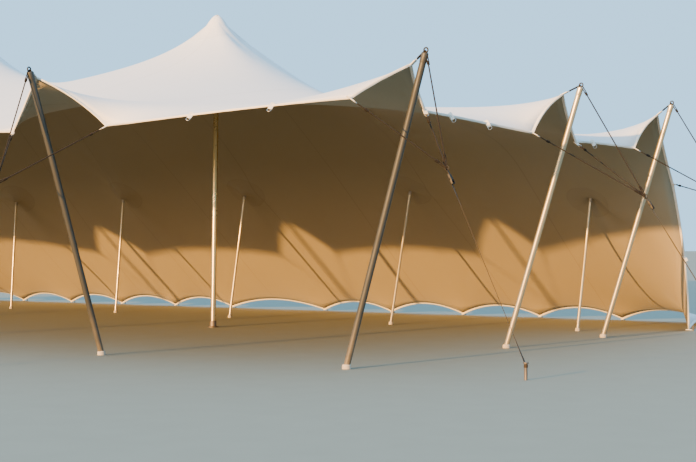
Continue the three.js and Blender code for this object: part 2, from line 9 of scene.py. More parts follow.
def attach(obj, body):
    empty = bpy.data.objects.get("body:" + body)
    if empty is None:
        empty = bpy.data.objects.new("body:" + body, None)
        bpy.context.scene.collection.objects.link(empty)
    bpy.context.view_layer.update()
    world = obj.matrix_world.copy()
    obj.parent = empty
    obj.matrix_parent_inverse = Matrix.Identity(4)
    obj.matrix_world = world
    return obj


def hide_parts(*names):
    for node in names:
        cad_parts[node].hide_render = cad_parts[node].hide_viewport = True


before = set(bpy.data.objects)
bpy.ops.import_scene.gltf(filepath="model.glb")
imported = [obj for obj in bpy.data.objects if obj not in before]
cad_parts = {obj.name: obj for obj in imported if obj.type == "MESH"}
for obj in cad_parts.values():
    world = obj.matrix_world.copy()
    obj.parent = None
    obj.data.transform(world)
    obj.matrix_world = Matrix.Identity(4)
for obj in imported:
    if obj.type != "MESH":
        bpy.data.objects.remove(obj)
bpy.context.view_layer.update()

# The camera stands low, off the tent's front right corner, and looks level along it. Its place and its lens
# come from the feet and heads of the four nearest edge poles.
FRAME_WIDTH = 696
HORIZON_BELOW_MIDDLE = 17
lens = bpy.data.cameras.new("camera")
lens.sensor_width = 36
lens.lens = 70
lens.shift_y = HORIZON_BELOW_MIDDLE / FRAME_WIDTH
lens.clip_end = 600
camera = bpy.data.objects.new("camera", lens)
camera.location = (14.79, -13.7325, 1.1)
camera.rotation_euler = (math.radians(90), 0, math.radians(34.3))
bpy.context.collection.objects.link(camera)
bpy.context.scene.camera = camera

# The roof is one sheet of four-way stretch cloth, proofed white on top and sand-coloured below, sewn from
# panels. Nine leaning edge poles pull it out to ears, two king poles and six back poles push it up, its back
# is pegged to the ground, and it settles under tension between all of these.
FRONT_EAR = dict(
    lean=0.98, tip=(0.90, 0, 2.764), tabs=((0.58, -0.68, 2.28), (0.45, 0.50, 2.29)),
    ring=(1.40, 0, 1.70), stake=2.10, ridge=10,
)
CORNER_EAR = dict(
    lean=0.84, tip=(0.70, 0, 2.72), tabs=((0.38, -0.50, 2.39), (0.55, 0.47, 2.35)),
    ring=(1.05, 0, 1.79), stake=1.81, ridge=16,
)
END_EAR = dict(
    lean=0.89, tip=(0.69, 0, 2.75), tabs=((0.56, -0.455, 2.30), (0.58, 0.56, 2.26)),
    ring=(1.61, 0, 1.63), stake=2.57, ridge=16,
)
REAR_EAR = dict(
    lean=0.88, tip=(0.71, 0, 2.705), tabs=((0.60, -0.45, 2.27), (0.50, 1.07, 1.915)),
    ring=(1.60, 0, 1.65), stake=2.55, ridge=16,
)
HEAD_HEIGHT = 2.83
MIDDLE_Y = 3.5825


class Ear:
    """A corner of cloth pulled out to one edge pole, with the places of all that holds it."""

    def __init__(self, name, x, y, facing, shape, flip=1):
        self.name = name
        self.foot = np.array([x, y - MIDDLE_Y, 0.0])
        self.out = np.array([math.cos(facing), math.sin(facing), 0.0])
        self.along = np.array([-self.out[1], self.out[0], 0.0]) * flip
        self.head = self.place(shape["lean"], 0, HEAD_HEIGHT)
        self.tip = self.place(*shape["tip"])
        self.tabs = [self.place(*tab) for tab in shape["tabs"]]
        self.ring = self.place(*shape["ring"])
        self.stake = self.place(shape["stake"], 0, 0)
        self.ridge = shape["ridge"]

    def place(self, out, along, up):
        return self.foot + out * self.out + along * self.along + np.array([0, 0, up])

    def points(self, axis):
        """The places where the ear holds the hem, in their order along one axis."""
        first, second = sorted(self.tabs, key=lambda tab: tab[axis])
        return [first, self.tip, second]


FRONTWARD = -math.pi / 2
front_ears = [
    Ear("front_1", -3.42, -0.09, FRONTWARD, FRONT_EAR, -1),
    Ear("front_2", 1.00, -0.09, FRONTWARD, FRONT_EAR),
    Ear("front_3", 4.86, -0.09, FRONTWARD, FRONT_EAR),
]
END_EARS = ("corner", 7.85, 0, CORNER_EAR), ("middle", 7.85, 3.11, END_EAR), ("rear", 8.01, 5.35, REAR_EAR)
right_ears = [Ear(f"right_{which}", x, y, 0, shape) for which, x, y, shape in END_EARS]
left_ears = [Ear(f"left_{which}", -x, y, math.pi, shape, -1) for which, x, y, shape in END_EARS]
ears = front_ears + right_ears + left_ears

kings = [
    dict(name="left", x=-2.70, y=4.35 - MIDDLE_Y, height=4.93),
    dict(name="right", x=2.70, y=4.35 - MIDDLE_Y, height=4.34),
]
BACK_TOP_Y = 6.80 - MIDDLE_Y
back_poles = [
    dict(x=-7.10, station=1, height=1.80, lean=0.30),
    dict(x=-4.08, station=5, height=1.96, lean=0.125),
    dict(x=-1.42, station=9.5, height=1.96, lean=0.19),
    dict(x=1.23, station=13.5, height=1.96, lean=0.38),
    dict(x=4.34, station=18, height=1.96, lean=0.54),
    dict(x=7.20, station=22, height=1.80, lean=0.43),
]

# Stations are the places of the tabs round the cloth, 23 steps along the front and 15 down each end. Each
# list gives the steps from one place that is held to the next.
FRONT_STATIONS = [6, 1, 1, 4, 1, 1, 4, 1, 1, 3]
END_STATIONS = [1, 1, 3, 1, 1, 2, 1, 1, 2, 2]
BACK_STATIONS = [2, 2, 2, 2, 2, 3, 2, 2, 2, 2, 2]
ACROSS = sum(FRONT_STATIONS)
DEEP = sum(END_STATIONS)
KING_STATION = 16, 8
BACK_POLE_ROW = 12
END_PEG = 8.4, 7.25 - MIDDLE_Y
BACK_CORNER = 8.0, 9.3 - MIDDLE_Y
GROUND_HEM = 0.014


def bay_bow(count):
    """How far the hem curves in and up between two holds that stand so many stations apart."""
    wide = max(1, count / 3)
    return (0.17 * wide, 0.045 * wide) if count > 1 else (0.025, 0.04)


FRONT_BOWS = [bay_bow(count) for count in FRONT_STATIONS]
# An end is nearly straight beside its corner ear, bulges down to its peg and lifts behind it
BESIDE_CORNER, DOWN_TO_PEG, BEHIND_PEG = (0.01, 0.01), (-0.05, 0), (0, 0.09)
END_BOWS = [BESIDE_CORNER, *(bay_bow(count) for count in END_STATIONS[1:-2]), DOWN_TO_PEG, BEHIND_PEG]
BACK_BOWS = [(0.06, 0.16)] * len(BACK_STATIONS)


def hem_line(fixed, stations, bows, inward, cells):
    """Points along one side, bowed in and up between the places that hold it."""
    points = [fixed[0]]
    for n, (count, (bow_in, bow_up)) in enumerate(zip(stations, bows)):
        for step in range(1, count * cells + 1):
            t = step / (count * cells)
            bow = 4 * t * (1 - t)
            straight = fixed[n] * (1 - t) + fixed[n + 1] * t
            points.append(straight + bow * (bow_in * np.array(inward) + np.array([0, 0, bow_up])))
    return np.array(points)


def end_hem(side_ears, side, cells):
    fixed = [point for one in side_ears for point in one.points(1)]
    fixed += [np.array([side * x, y, GROUND_HEM]) for x, y in (END_PEG, BACK_CORNER)]
    return hem_line(fixed, END_STATIONS, END_BOWS, (-side, 0, 0), cells)


def front_hem(cells):
    fixed = [left_ears[0].points(1)[0]]
    fixed += [point for one in front_ears for point in one.points(0)]
    fixed.append(right_ears[0].points(1)[0])
    return hem_line(fixed, FRONT_STATIONS, FRONT_BOWS, (0, 1, 0), cells)


def back_hem(cells):
    shares = np.concatenate([[0], np.cumsum(BACK_STATIONS)]) / ACROSS
    fixed = [np.array([BACK_CORNER[0] * (2 * share - 1), BACK_CORNER[1], GROUND_HEM]) for share in shares]
    return hem_line(fixed, BACK_STATIONS, BACK_BOWS, (0, -1, 0), cells)


OVERSTEP = 1.8


def settle(values, held, pulls, rounds):
    """Every free point moves to where its four neighbours pull it, half of them at a time."""
    east, west, north, south = pulls
    total = east + west + north + south
    rows, columns = np.indices(total.shape)
    for turn in range(2 * rounds):
        moving = ~held[1:-1, 1:-1] & ((rows + columns) % 2 == turn % 2)
        pulled = east * values[1:-1, 2:] + west * values[1:-1, :-2]
        pulled = (pulled + north * values[2:, 1:-1] + south * values[:-2, 1:-1]) / total
        values[1:-1, 1:-1][moving] += OVERSTEP * (pulled - values[1:-1, 1:-1])[moving]


def unit(v):
    return v / np.linalg.norm(v, axis=-1, keepdims=True)


CROWN_RADIUS = 0.15
CROWN_DROP = 0.16
CROWN_CURVE = 1.6
CROWN_REACH, CROWN_FADE = 2.8, 0.45
KING_LINE_PULL, KING_LINE_WIDTH = 1.3, 0.8
EAR_WIDTH, EAR_SPREAD, EAR_DEPTH = 0.14, 0.15, 1.5


def tension(middle, way):
    """How hard the cloth is stretched at a place in plan, along a way. It is tightest round each king pole,
    on the line between the two, and out along each ear."""
    way = unit(way)
    near = np.min([np.hypot(middle[..., 0] - k["x"], middle[..., 1] - k["y"]) for k in kings], axis=0)
    strength = np.maximum(1, (CROWN_REACH / np.maximum(near, CROWN_RADIUS)) ** CROWN_FADE)
    beyond = np.maximum(np.abs(middle[..., 0]) - kings[1]["x"], 0)
    off_line = np.hypot(beyond, middle[..., 1] - kings[1]["y"]) / KING_LINE_WIDTH
    strength = strength + KING_LINE_PULL * np.exp(-off_line ** 2) * way[..., 0] ** 2
    for one in ears:
        from_tip = middle - one.tip[:2]
        depth = np.maximum(-from_tip @ one.out[:2], 0)
        across = np.abs(from_tip @ one.along[:2])
        share = np.exp(-(across / (EAR_WIDTH + EAR_SPREAD * depth)) ** 2 - depth / EAR_DEPTH)
        strength = strength + one.ridge * share * (way @ one.out[:2]) ** 2
    return strength


CAP_RADIUS = 0.05
CAP_DROP = 0.026
PLAN_ROUNDS, HEIGHT_ROUNDS = 200, 500
FINE = 8


def settled_cloth(cells, coarse=None):
    """The cloth as a grid of points, with so many cells from one station to the next."""
    front, back = front_hem(cells), back_hem(cells)
    left, right = end_hem(left_ears, -1, cells), end_hem(right_ears, 1, cells)
    columns, rows = ACROSS * cells, DEEP * cells
    u = np.linspace(0, 1, columns + 1)[None, :, None]
    v = np.linspace(0, 1, rows + 1)[:, None, None]
    front_line = (1 - u) * front[0] + u * front[-1]
    back_line = (1 - u) * back[0] + u * back[-1]
    points = (1 - v) * front + v * back + (1 - u) * left[:, None] + u * right[:, None]
    points = points - (1 - v) * front_line - v * back_line
    if coarse is not None:
        start = np.zeros((rows + 1, columns + 1, 3))
        start[::2, ::2] = coarse
        start[1::2, ::2] = (coarse[:-1] + coarse[1:]) / 2
        start[:, 1::2] = (start[:, :-2:2] + start[:, 2::2]) / 2
        points[1:-1, 1:-1] = start[1:-1, 1:-1]

    held = np.ones((rows + 1, columns + 1), bool)
    held[1:-1, 1:-1] = False

    def push_up(x, y, height, i, j, reach, radius, drop, curve):
        """Holds the cloth on the cap of one pole, from its middle out to its rim."""
        for di in range(-reach, reach + 1):
            for dj in range(-reach, reach + 1):
                share = max(abs(di), abs(dj)) / max(reach, 1)
                far = radius * share / max(math.hypot(di, dj), 1)
                points[j + dj, i + di] = x + di * far, y + dj * far, height - drop * share ** curve
                held[j + dj, i + di] = True

    for king in kings:
        i = KING_STATION[0] * cells if king["x"] > 0 else columns - KING_STATION[0] * cells
        push_up(king["x"], king["y"], king["height"], i, KING_STATION[1] * cells, cells // 2,
                CROWN_RADIUS, CROWN_DROP, CROWN_CURVE)
    for pole in back_poles:
        push_up(pole["x"], BACK_TOP_Y, pole["height"], int(pole["station"] * cells), BACK_POLE_ROW * cells,
                int(cells == FINE), CAP_RADIUS, CAP_DROP, 1)

    even = [np.ones((rows - 1, columns - 1))] * 4
    settle(points[..., 0], held, even, PLAN_ROUNDS)
    settle(points[..., 1], held, even, PLAN_ROUNDS)

    plan = points[..., :2]
    wide, deep = np.diff(plan, axis=1), np.diff(plan, axis=0)
    cell_depth, cell_width = np.zeros((2, rows + 1, columns + 1))
    cell_depth[1:-1] = np.linalg.norm(plan[2:] - plan[:-2], axis=-1)
    cell_width[:, 1:-1] = np.linalg.norm(plan[:, 2:] - plan[:, :-2], axis=-1)
    wide_pull = tension((plan[:, 1:] + plan[:, :-1]) / 2, wide) / np.linalg.norm(wide, axis=-1)
    wide_pull = wide_pull * (cell_depth[:, 1:] + cell_depth[:, :-1]) / 2
    deep_pull = tension((plan[1:] + plan[:-1]) / 2, deep) / np.linalg.norm(deep, axis=-1)
    deep_pull = deep_pull * (cell_width[1:] + cell_width[:-1]) / 2
    pulls = wide_pull[1:-1, 1:], wide_pull[1:-1, :-1], deep_pull[1:, 1:-1], deep_pull[:-1, 1:-1]
    settle(points[..., 2], held, pulls, HEIGHT_ROUNDS)
    return points


cloth = settled_cloth(FINE // 4)
cloth = settled_cloth(FINE // 2, cloth)
cloth = settled_cloth(FINE, cloth)
ROWS, COLUMNS = cloth.shape[0] - 1, cloth.shape[1] - 1

# Small folds fan out from all that pulls the cloth, and fade towards the hem and under the crowns
EAR_FOLDS = dict(count=15, height=0.009, near=0.25, fade=0.55)
KING_FOLDS = dict(count=12, height=0.008, near=0.35, fade=0.6)
BACK_FOLDS = dict(count=8, height=0.014, near=0.2, fade=0.5)
PEG_FOLDS = dict(count=10, height=0.012, near=0.2, fade=0.35)
PLAIN_RIM = 4


def upward(points):
    """The way each point of the grid faces."""
    return unit(np.cross(np.gradient(points, axis=1), np.gradient(points, axis=0)))


def fan(centre, start, count, height, near, fade):
    """The rise of folds that fan out from one point that pulls the cloth."""
    away = cloth[..., :2] - centre[:2]
    far = np.linalg.norm(away, axis=-1)
    angle = np.arctan2(away[..., 1], away[..., 0]) - start
    rise = 1 - np.exp(-(far / near) ** 2)
    return height * rise * np.exp(-far / fade) * np.cos(count * angle + 0.9 * np.sin(2 * angle))


lift = np.zeros(cloth.shape[:2])
for n, one in enumerate(ears):
    facing = math.atan2(one.out[1], one.out[0])
    lift += fan(one.tip, facing + 0.13 * math.sin(5 * n), **EAR_FOLDS)
for king in kings:
    lift += fan(np.array([king["x"], king["y"]]), 0.4, **KING_FOLDS)
for n, pole in enumerate(back_poles):
    lift += fan(np.array([pole["x"], BACK_TOP_Y]), 0.5 * n, **BACK_FOLDS)
for n in range(0, COLUMNS + 1, FINE):
    if cloth[ROWS, n, 2] < GROUND_HEM + 0.001:
        lift += fan(cloth[ROWS, n], math.pi / 2, **PEG_FOLDS)
rows_in = np.minimum(np.arange(ROWS + 1), np.arange(ROWS, -1, -1))[:, None]
columns_in = np.minimum(np.arange(COLUMNS + 1), np.arange(COLUMNS, -1, -1))
lift *= np.minimum(np.minimum(rows_in, columns_in) / PLAIN_RIM, 1)
for king in kings:
    lift[np.hypot(cloth[..., 0] - king["x"], cloth[..., 1] - king["y"]) < CROWN_RADIUS + 0.01] = 0
surface = cloth + lift[..., None] * upward(cloth)
facing = upward(surface)

FLAT = 15.0, 11.0
CLOTH_THICKNESS = 0.003
HEM_WIDTH = 0.034
HEM_TUCK = 0.02
trimmed = surface.copy()
for rim, inner in ((0, 1), (-1, -2)):
    trimmed[rim] += HEM_TUCK * unit(surface[inner] - surface[rim])
    trimmed[:, rim] += HEM_TUCK * unit(surface[:, inner] - surface[:, rim])


def mesh_piece(name, points, faces, uv, materials, face_materials=None):
    """A new object from points and faces, smooth, with one UV for each point."""
    mesh = bpy.data.meshes.new(name)
    mesh.from_pydata([tuple(point) for point in points], [], faces)
    for material in materials:
        mesh.materials.append(material)
    if face_materials is not None:
        mesh.polygons.foreach_set("material_index", face_materials)
    corner = np.zeros(len(mesh.loops), np.int32)
    mesh.loops.foreach_get("vertex_index", corner)
    layer = mesh.uv_layers.new(name="UVMap")
    layer.data.foreach_set("uv", np.asarray(uv, np.float32)[corner].ravel())
    mesh.shade_smooth()
    mesh.update()
    piece = bpy.data.objects.new(name, mesh)
    bpy.context.collection.objects.link(piece)
    return piece


class Signal:
    """One output of a node, so that sums of signals read as sums."""

    def __init__(self, finish, socket):
        self.finish = finish
        self.socket = socket

    def __add__(self, other):
        return self.finish.calc("ADD", self, other)

    def __sub__(self, other):
        return self.finish.calc("SUBTRACT", self, other)

    def __rsub__(self, other):
        return self.finish.calc("SUBTRACT", other, self)

    def __mul__(self, other):
        return self.finish.calc("MULTIPLY", self, other)

    def __truediv__(self, other):
        return self.finish.calc("DIVIDE", self, other)

    def __gt__(self, other):
        return self.finish.calc("GREATER_THAN", self, other)

    def __lt__(self, other):
        return self.finish.calc("LESS_THAN", self, other)

    __radd__ = __add__
    __rmul__ = __mul__


class Finish:
    """A material, built up node by node round one shader."""

    def __init__(self, name, **constants):
        self.material = bpy.data.materials.new(name)
        self.material.use_nodes = True
        self.tree = self.material.node_tree
        self.shader = self.tree.nodes["Principled BSDF"]
        for socket, value in constants.items():
            self.shader.inputs[socket.replace("_", " ")].default_value = value

    def node(self, kind, settings=None, sockets=None, output=0):
        """A new node: its settings are set first, then the values and links of its sockets."""
        node = self.tree.nodes.new(kind)
        for name, value in (settings or {}).items():
            setattr(node, name, value)
        for socket, value in (sockets or {}).items():
            if isinstance(value, Signal):
                self.tree.links.new(value.socket, node.inputs[socket])
            else:
                node.inputs[socket].default_value = value
        return Signal(self, node.outputs[output])

    def calc(self, operation, *values):
        return self.node("ShaderNodeMath", {"operation": operation}, dict(enumerate(values)))

    def place(self):
        return self.node("ShaderNodeTexCoord", output=3)

    def uv(self):
        """The piece's own UV, and its two measures one by one."""
        uv = self.node("ShaderNodeUVMap", {"uv_map": "UVMap"})
        return uv, *(self.node("ShaderNodeSeparateXYZ", sockets={0: uv}, output=n) for n in (0, 1))

    def noise(self, where, scale, detail, distortion=0.0):
        return self.node("ShaderNodeTexNoise", sockets={
            "Vector": where, "Scale": scale, "Detail": detail, "Distortion": distortion,
        })

    def fade(self, value, start, end, first, last):
        """From one number to another while a signal goes from start to end."""
        return self.node("ShaderNodeMapRange", sockets={0: value, 1: start, 2: end, 3: first, 4: last})

    def mix(self, share, first, second):
        return self.node("ShaderNodeMix", {"data_type": "RGBA"}, {0: share, 6: first, 7: second}, 2)

    def bump(self, strength, height):
        return self.node("ShaderNodeBump", sockets={"Strength": strength, "Distance": 1.0, "Height": height})

    def feed(self, **sockets):
        for socket, value in sockets.items():
            self.tree.links.new(value.socket, self.shader.inputs[socket.replace("_", " ")])
        return self.material


PATCHES = [((king["x"], king["y"], king["height"]), 0.55) for king in kings]
PATCHES += [((pole["x"], BACK_TOP_Y, pole["height"]), 0.34) for pole in back_poles]
PANEL_WIDTH = 1.5
SEAM_WIDTH = 0.018
STITCH_LENGTH = 0.006
KNIT_RATE = 1800
DUSTY_HEIGHT, DUSTY_RIM = 0.9, 0.35


def cloth_finish(name, clean, worn, seam, soiled, patch_and_painted_shade):
    """Knitted stretch cloth with a soft proofing, sewn panels, round patches at the pole tops darkened partly
    as real reinforcement and partly as painted shade of the recess round each back pole's top, and dust and
    wear near its hem.
    """
    finish = Finish(name, Sheen_Weight=0.12, Sheen_Roughness=0.5)
    place = finish.place()
    within = 9.0
    for top, radius in PATCHES:
        far = finish.node("ShaderNodeVectorMath", {"operation": "DISTANCE"}, {0: place, 1: top}, 1)
        within = finish.calc("MINIMUM", within, far / radius)
    on_patch = finish.fade(within, 1.0, 0.97, 0.0, 1.0)
    patch_row = (within > 0.93) * (within < 0.95)
    uv, across, deep = finish.uv()
    broad, fine, crease = finish.noise(uv, 0.8, 4.0), finish.noise(uv, 60.0, 2.0), finish.noise(uv, 7.0, 3.0)
    knit = finish.calc("SINE", across * KNIT_RATE) * finish.calc("SINE", deep * KNIT_RATE)
    from_seam = finish.calc("PINGPONG", across, PANEL_WIDTH / 2)
    on_seam = from_seam < SEAM_WIDTH / 2
    stitch = finish.calc("PINGPONG", deep, STITCH_LENGTH)
    stitched = (from_seam > 0.004) * (from_seam < 0.006) * (stitch > STITCH_LENGTH / 2)
    from_side = finish.calc("MINIMUM", across, FLAT[0] - across)
    low = finish.fade(FLAT[1] - deep, 0.0, DUSTY_HEIGHT, 1.0, 0.0)
    rim = finish.fade(finish.calc("MINIMUM", deep, from_side), 0.0, DUSTY_RIM, 1.0, 0.0)
    dirt = finish.node("ShaderNodeMath", {"operation": "MULTIPLY", "use_clamp": True},
                       {0: low * 0.55 + rim * 0.25, 1: broad + 0.35})
    color = finish.mix(broad * 0.5 + fine * 0.2, clean, worn)
    color = finish.mix(dirt, color, soiled)
    color = finish.mix(on_seam * 0.3 + stitched * 0.2, color, seam)
    # The patches are darkened partly as real reinforcement cloth and partly as painted shade of the recess
    # that each back pole pushes up in the cloth
    color = finish.mix(on_patch * patch_and_painted_shade + patch_row * 0.2, color, seam)
    height = knit * 0.0002 + crease * 0.004 + fine * 0.0006 + on_seam * 0.0012 - stitched * 0.001
    height = height + on_patch * 0.0012 - patch_row * 0.001
    roughness = 0.72 + 0.14 * broad - 0.05 * fine
    return finish.feed(Base_Color=color, Roughness=roughness, Normal=finish.bump(0.6, height))


white_cloth = cloth_finish(
    "white_stretch_cloth", (0.78, 0.80, 0.83, 1), (0.73, 0.74, 0.77, 1), (0.60, 0.60, 0.59, 1),
    (0.55, 0.49, 0.40, 1), 0.12,
)
# The underside's patches are darkened more, as painted shade round the back pole tops
sand_cloth = cloth_finish(
    "sand_stretch_cloth", (0.375, 0.330, 0.245, 1), (0.335, 0.295, 0.215, 1), (0.25, 0.21, 0.15, 1),
    (0.30, 0.265, 0.20, 1), 0.16,
)

count = (ROWS + 1) * (COLUMNS + 1)
half = CLOTH_THICKNESS / 2
both = np.concatenate([(trimmed - half * facing).reshape(-1, 3), (trimmed + half * facing).reshape(-1, 3)])
flat_x = np.arange(COLUMNS + 1) / COLUMNS * FLAT[0]
flat_y = np.arange(ROWS + 1) / ROWS * FLAT[1]
cut = np.stack(np.meshgrid(flat_x, flat_y), axis=-1).reshape(-1, 2)
faces, sides_of = [], []
for j in range(ROWS):
    for i in range(COLUMNS):
        a = j * (COLUMNS + 1) + i
        b, c, d = a + 1, a + COLUMNS + 2, a + COLUMNS + 1
        faces += [(a + count, b + count, c + count, d + count), (a, d, c, b)]
        sides_of += [0, 1]
index = np.arange(count).reshape(ROWS + 1, COLUMNS + 1)
rim = np.concatenate([index[0, :-1], index[:-1, -1], index[-1, :0:-1], index[:0:-1, 0]]).tolist()
for here, after in zip(rim, rim[1:] + rim[:1]):
    faces.append((here, after, after + count, here + count))
    sides_of.append(0)
cuts = np.concatenate([cut, cut])
canopy = mesh_piece("cloth_canopy", both, faces, cuts, [white_cloth, sand_cloth], sides_of)
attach(canopy, "root")
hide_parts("canopy")

# The hem is a band of woven white webbing folded over the cloth's edge and sewn down with two rows of
# stitches. It carries the pull from tab to tab all the way round.
def webbing_finish(name, base, shade, width, pitch=0.0022):
    finish = Finish(name, Sheen_Weight=0.1)
    uv, along, side = finish.uv()
    thread = math.tau / pitch
    weave = finish.calc("SINE", along * thread) * finish.calc("SINE", side * thread) * 0.5 + 0.5
    from_edge = finish.calc("PINGPONG", side, width / 2)
    row = (from_edge > 0.0045) * (from_edge < 0.0065)
    stitch = row * (finish.calc("PINGPONG", along, 0.003) > 0.0008)
    wear = finish.noise(uv, 9.0, 4.0)
    color = finish.mix(wear * 0.6 + weave * 0.25, base, shade)
    color = finish.mix(row * 0.35, color, shade)
    height = weave * 0.0004 + stitch * 0.0006 - row * 0.0008 + wear * 0.001
    return finish.feed(Base_Color=color, Roughness=0.66 + 0.2 * wear, Normal=finish.bump(0.7, height))


white_webbing = webbing_finish("white_webbing", (0.86, 0.84, 0.79, 1), (0.66, 0.62, 0.55, 1), HEM_WIDTH)
HEM_SIDES = 12
HEM_ROLL = 2.9
ROLL_WIDTH = 0.012
PUCKER, PUCKER_RATE = 0.1, 31


def skin(name, points, sides, uv, material, closed=False):
    """A closed skin over rings of points in a row, with all its faces turned out."""
    rings = len(points) // sides
    faces = []
    for k in range(rings if closed else rings - 1):
        here, there = k * sides, (k + 1) % rings * sides
        for s in range(sides):
            after = (s + 1) % sides
            faces.append((here + s, here + after, there + after, there + s))
    if not closed:
        faces += [tuple(range(sides - 1, -1, -1)), tuple(range(len(points) - sides, len(points)))]
    piece = mesh_piece(name, points, faces, uv, [material])
    work = bmesh.new()
    work.from_mesh(piece.data)
    bmesh.ops.recalc_face_normals(work, faces=work.faces)
    work.to_mesh(piece.data)
    work.free()
    return piece


def runs(points):
    """How far each point of a row lies along it."""
    return np.concatenate([[0], np.cumsum(np.linalg.norm(np.diff(points, axis=0), axis=1))])


def band(name, outer, inward, facing, thickness):
    """A flat band on a line of points, rolled round a cord at its outer edge."""
    section = []
    for n in range(HEM_SIDES):
        angle = math.tau * n / HEM_SIDES
        x, y = math.cos(angle), math.sin(angle)
        section.append((math.copysign(abs(x) ** 0.35, x), math.copysign(abs(y) ** 0.75, y)))
    points, uv = [], []
    for start, within, up, far in zip(outer, inward, facing, runs(outer)):
        pucker = 1 + PUCKER * math.sin(far * PUCKER_RATE)
        for across, rise in section:
            side = HEM_WIDTH / 2 * (1 - across)
            half = thickness / 2 * (1 + HEM_ROLL * math.exp(-(side / ROLL_WIDTH) ** 2))
            points.append(start + within * side + up * rise * half * pucker)
            uv.append((far, side))
    return skin(name, points, HEM_SIDES, uv, white_webbing)


hem_lines = {
    "front": (surface[0], surface[1], facing[0], 0.0062),
    "right": (surface[:, -1], surface[:, -2], facing[:, -1], 0.0075),
    "back": (surface[-1], surface[-2], facing[-1], 0.0062),
    "left": (surface[:, 0], surface[:, 1], facing[:, 0], 0.0075),
}
hems = []
for side, (outer, inner, faced, thickness) in hem_lines.items():
    hem = band(f"{side}_hem_band", outer, unit(inner - outer), faced, thickness)
    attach(hem, "root")
    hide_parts(f"{side}_edge_webbing")
    hems.append(hem)

# A tab of doubled webbing is sewn on the hem at nearly every station, with a welded steel ring in its fold.
# Three at each ear are roped out, those on the ground are pegged, and the rest hang loose.
def select_only(*chosen):
    bpy.ops.object.select_all(action="DESELECT")
    for piece in chosen:
        piece.select_set(True)
    bpy.context.view_layer.objects.active = chosen[0]


def primitive(add, scale=(1, 1, 1), **settings):
    """A new primitive on its own, with its place, turn and size in its mesh."""
    bpy.ops.object.select_all(action="DESELECT")
    add(**settings)
    piece = bpy.context.object
    piece.scale = scale
    bpy.ops.object.transform_apply(location=True, rotation=True, scale=True)
    return piece


SMOOTH = math.radians(35)


def eased(piece, offset, segments, test):
    """Bevels the edges whose middle passes the test, and nothing else."""
    bpy.ops.object.mode_set(mode="EDIT")
    bpy.ops.mesh.select_all(action="DESELECT")
    work = bmesh.from_edit_mesh(piece.data)
    for edge in work.edges:
        if test((edge.verts[0].co + edge.verts[1].co) / 2):
            edge.select_set(True)
    work.select_flush_mode()
    bmesh.update_edit_mesh(piece.data)
    bpy.ops.mesh.bevel(offset=offset, segments=segments, affect="EDGES")
    bpy.ops.object.mode_set(mode="OBJECT")
    bpy.ops.object.shade_smooth_by_angle(angle=SMOOTH)
    return piece


def joined(name, parts):
    select_only(*parts)
    bpy.ops.object.join()
    parts[0].name = name
    return parts[0]


def put(mesh, matrix):
    """Moves a mesh to its place, with its faces turned out again where the place mirrors it."""
    mesh.transform(matrix)
    if matrix.determinant() < 0:
        mesh.flip_normals()


def placed(source, name, matrix):
    """A copy of a modelled piece with its own mesh, its place in its mesh."""
    piece = bpy.data.objects.new(name, source.data.copy())
    put(piece.data, matrix)
    bpy.context.collection.objects.link(piece)
    return piece


def set_on(x, y, z, origin):
    """The matrix that lays a piece's own X, Y and Z along three ways, at a place."""
    return Matrix((*zip(x, y, z, origin), (0, 0, 0, 1)))


def pointed(origin, way, up=(0, 0, 1)):
    """The matrix that lays a piece's own X along one way, and its Z as near a second as it can be."""
    x = Vector(way).normalized()
    y = Vector(up).cross(x).normalized()
    return set_on(x, y, x.cross(y), origin)


def metal_finish(name, base, shade, roughness, grain=60.0):
    """Bare or plated metal with fine draw lines, dull patches and small scratches."""
    finish = Finish(name, Metallic=1.0)
    place = finish.place()
    patch, fine = finish.noise(place, 6.0, 5.0), finish.noise(place, grain * 4, 3.0)
    scratch = finish.noise(place, grain, 6.0, 1.5)
    color = finish.mix(patch * 0.7 + fine * 0.3, base, shade)
    bump = finish.bump(0.35, fine * 0.0002 + scratch * 0.0005)
    dull = 0.25 * patch + 0.1 * scratch
    return finish.feed(Base_Color=color, Roughness=roughness - 0.1 + dull, Normal=bump)


def wire_ring(material, radius, wire, around, sides, at=(0, 0, 0), tilt=0):
    """A welded ring of round wire."""
    ring = primitive(
        bpy.ops.mesh.primitive_torus_add, major_radius=radius, minor_radius=wire, major_segments=around,
        minor_segments=sides, location=at, rotation=(math.radians(tilt), 0, 0),
    )
    bpy.ops.object.shade_smooth()
    ring.data.materials.append(material)
    return ring


plated_steel = metal_finish("plated_steel", (0.62, 0.61, 0.58, 1), (0.42, 0.40, 0.37, 1), 0.36)
tab_webbing = webbing_finish("tab_webbing", (0.87, 0.85, 0.80, 1), (0.64, 0.60, 0.52, 1), 0.04)

TAB_OUT, TAB_IN = 0.046, 0.04
TAB_WIDTH, TAB_THICKNESS = 0.042, 0.010
tab_middle = (TAB_OUT - TAB_IN) / 2
tab_strap = primitive(
    bpy.ops.mesh.primitive_cube_add, (TAB_OUT + TAB_IN, TAB_WIDTH, TAB_THICKNESS), size=1,
    location=(tab_middle, 0, 0),
)
eased(tab_strap, 0.0035, 3, lambda m: abs(m.z) > 0.004 and abs(m.y) < 0.001 and abs(m.x - tab_middle) > 0.04)
bpy.ops.object.mode_set(mode="EDIT")
bpy.ops.mesh.select_all(action="SELECT")
bpy.ops.uv.cube_project(cube_size=1, scale_to_bounds=False)
bpy.ops.object.mode_set(mode="OBJECT")
tab_strap.data.materials.append(tab_webbing)
tab_ring = wire_ring(plated_steel, 0.020, 0.0036, 20, 8, (TAB_OUT + 0.012, 0, 0), 12)

